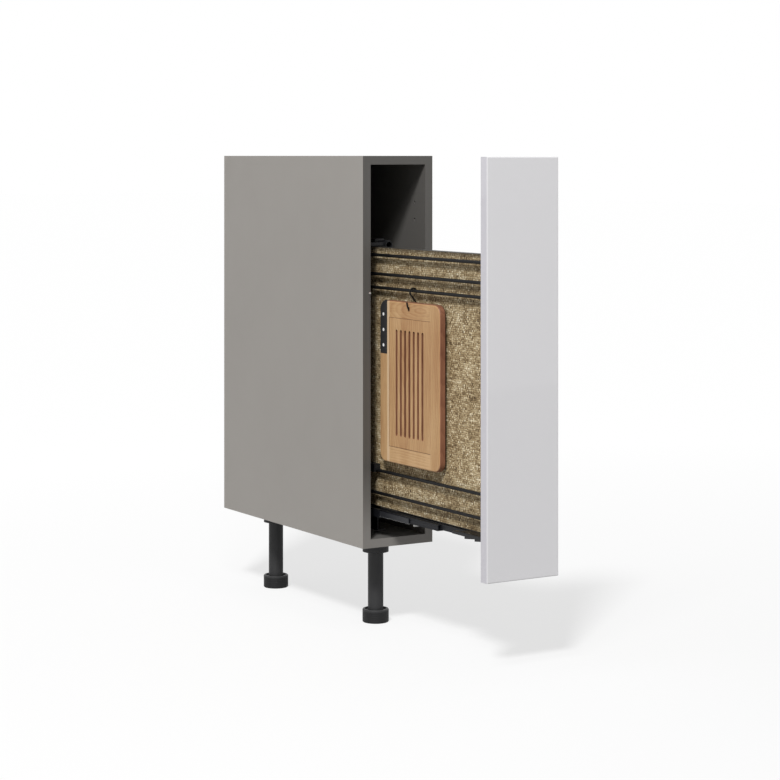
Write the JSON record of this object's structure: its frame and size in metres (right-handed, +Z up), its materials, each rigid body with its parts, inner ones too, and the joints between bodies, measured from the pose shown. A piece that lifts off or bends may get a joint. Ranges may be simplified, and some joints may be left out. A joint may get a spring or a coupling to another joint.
{
  "type": "narrow pull-out base cabinet",
  "caption": "Narrow kitchen base cabinet on two legs, with a slab front and a rail panel that pull out on a runner; a board hangs on an S-hook.",
  "frame": {"origin": "on the floor, at the centre of the whole unit's footprint as it stands with its front pulled out", "axes": "+X to the right when facing the front, +Y to the back (the front faces -Y), +Z up"},
  "size_m": [0.15, 0.966, 0.875],
  "materials": {
    "carcass_board": "matt light-grey melamine on chipboard, closed edges",
    "front_lacquer": "smooth pale high-gloss lacquer on MDF",
    "back_board": "thin grey coated fibreboard",
    "beech_dowel": "plain turned hardwood",
    "leg_plastic": "matt black moulded plastic",
    "zinc_steel": "bright zinc-plated steel",
    "runner_steel": "dark coated cold-rolled steel",
    "ball_steel": "polished bearing steel",
    "cage_plastic": "natural white moulded plastic",
    "buffer_plastic": "soft white plastic",
    "guide_metal": "dark grey coated metal",
    "panel_core": "dark-dyed fibreboard",
    "decor_skin": "woven grey-brown textile-look laminate",
    "panel_edging": "thin dark edging tape",
    "rail_metal": "satin black powder coat",
    "coupler_plastic": "matt black moulded plastic",
    "hook_wire": "black-coated bent wire",
    "bread_wood": "oiled light hardwood",
    "handle_plastic": "black riveted handle scales",
    "blade_steel": "fine-ground stainless steel",
    "rivet_metal": "bright turned rivets"
  },
  "bodies": {
    "carcass": {"side_panel_left": "carcass_board", "side_panel_right": "carcass_board", "top_panel": "carcass_board", "bottom_panel": "carcass_board", "back_panel": "back_board", "carcass_dowels": "beech_dowel", "door_buffers": "buffer_plastic", "leg_socket_front": "leg_plastic", "leg_tube_front": "leg_plastic", "leg_socket_rear": "leg_plastic", "leg_tube_rear": "leg_plastic", "runner_stand_front": "zinc_steel", "runner_stand_rear": "zinc_steel", "stand_screws": "zinc_steel", "runner_rivets": "zinc_steel", "runner_outer_member": "runner_steel", "guide_tube": "zinc_steel", "guide_bracket_front": "guide_metal", "guide_bracket_rear": "guide_metal", "guide_screws": "zinc_steel"},
    "foot_front_body": {"foot_front": "leg_plastic", "foot_stem_front": "zinc_steel"},
    "foot_rear_body": {"foot_rear": "leg_plastic", "foot_stem_rear": "zinc_steel"},
    "runner_middle": {"runner_middle_member": "runner_steel"},
    "cage_lower": {"ball_cage_lower": "cage_plastic", "balls_lower": "ball_steel"},
    "cage_upper": {"ball_cage_upper": "cage_plastic", "balls_upper": "ball_steel"},
    "pullout": {"door_front": "front_lacquer", "door_bracket_lower": "zinc_steel", "door_bracket_upper": "zinc_steel", "door_screws": "zinc_steel", "saddle_front": "zinc_steel", "saddle_rear": "zinc_steel", "saddle_rivets": "zinc_steel", "front_coupler": "coupler_plastic", "panel_screws": "zinc_steel", "panel_core": "panel_core", "decor_skin_left": "decor_skin", "decor_skin_right": "decor_skin", "panel_edging": "panel_edging", "rail_1": "rail_metal", "rail_2": "rail_metal", "rail_3": "rail_metal", "rail_4": "rail_metal", "rail_5": "rail_metal", "rail_posts": "rail_metal", "rail_stop_block": "coupler_plastic", "guide_shoe": "coupler_plastic", "runner_inner_member": "runner_steel"},
    "hook": {"s_hook": "hook_wire"},
    "board": {"board_frame": "bread_wood"},
    "grid": {"crumb_grid": "bread_wood"},
    "knife": {"knife_blade": "blade_steel", "knife_handle": "handle_plastic", "knife_rivets": "rivet_metal"}
  },
  "joints": [
    {"name": "pullout_slide", "type": "slide", "parent": "carcass", "child": "pullout", "axis": [0, -1, 0], "range_m": [-0.385, 0.013]},
    {"name": "middle_slide", "type": "slide", "parent": "carcass", "child": "runner_middle", "axis": [0, -1, 0], "range_m": [-0.1925, 0.0065]},
    {"name": "cage_lower_slide", "type": "slide", "parent": "carcass", "child": "cage_lower", "axis": [0, -1, 0], "range_m": [-0.09625, 0.00325]},
    {"name": "cage_upper_slide", "type": "slide", "parent": "carcass", "child": "cage_upper", "axis": [0, -1, 0], "range_m": [-0.28875, 0.00975]},
    {"name": "hook_slide", "type": "slide", "parent": "pullout", "child": "hook", "axis": [0, 1, 0], "range_m": [-0.14, 0.07]},
    {"name": "board_swing", "type": "hinge", "parent": "hook", "child": "board", "pos_m": [-0.029, -0.1844, 0.602], "axis": [1, 0, 0], "range_deg": [-5, 5]},
    {"name": "grid_lift", "type": "slide", "parent": "board", "child": "grid", "axis": [-1, 0, 0], "range_m": [0, 0.015]},
    {"name": "knife_slide", "type": "slide", "parent": "board", "child": "knife", "axis": [0, 0, 1], "range_m": [0, 0.008]},
    {"name": "foot_front_thread", "type": "slide", "parent": "carcass", "child": "foot_front_body", "axis": [0, 0, -1], "range_m": [-0.008, 0.015]},
    {"name": "foot_rear_thread", "type": "slide", "parent": "carcass", "child": "foot_rear_body", "axis": [0, 0, -1], "range_m": [-0.008, 0.015]}
  ],
  "couplings": [
    {"joint": "middle_slide", "follows": "pullout_slide", "ratio": 0.5},
    {"joint": "cage_lower_slide", "follows": "pullout_slide", "ratio": 0.25},
    {"joint": "cage_upper_slide", "follows": "pullout_slide", "ratio": 0.75}
  ]
}
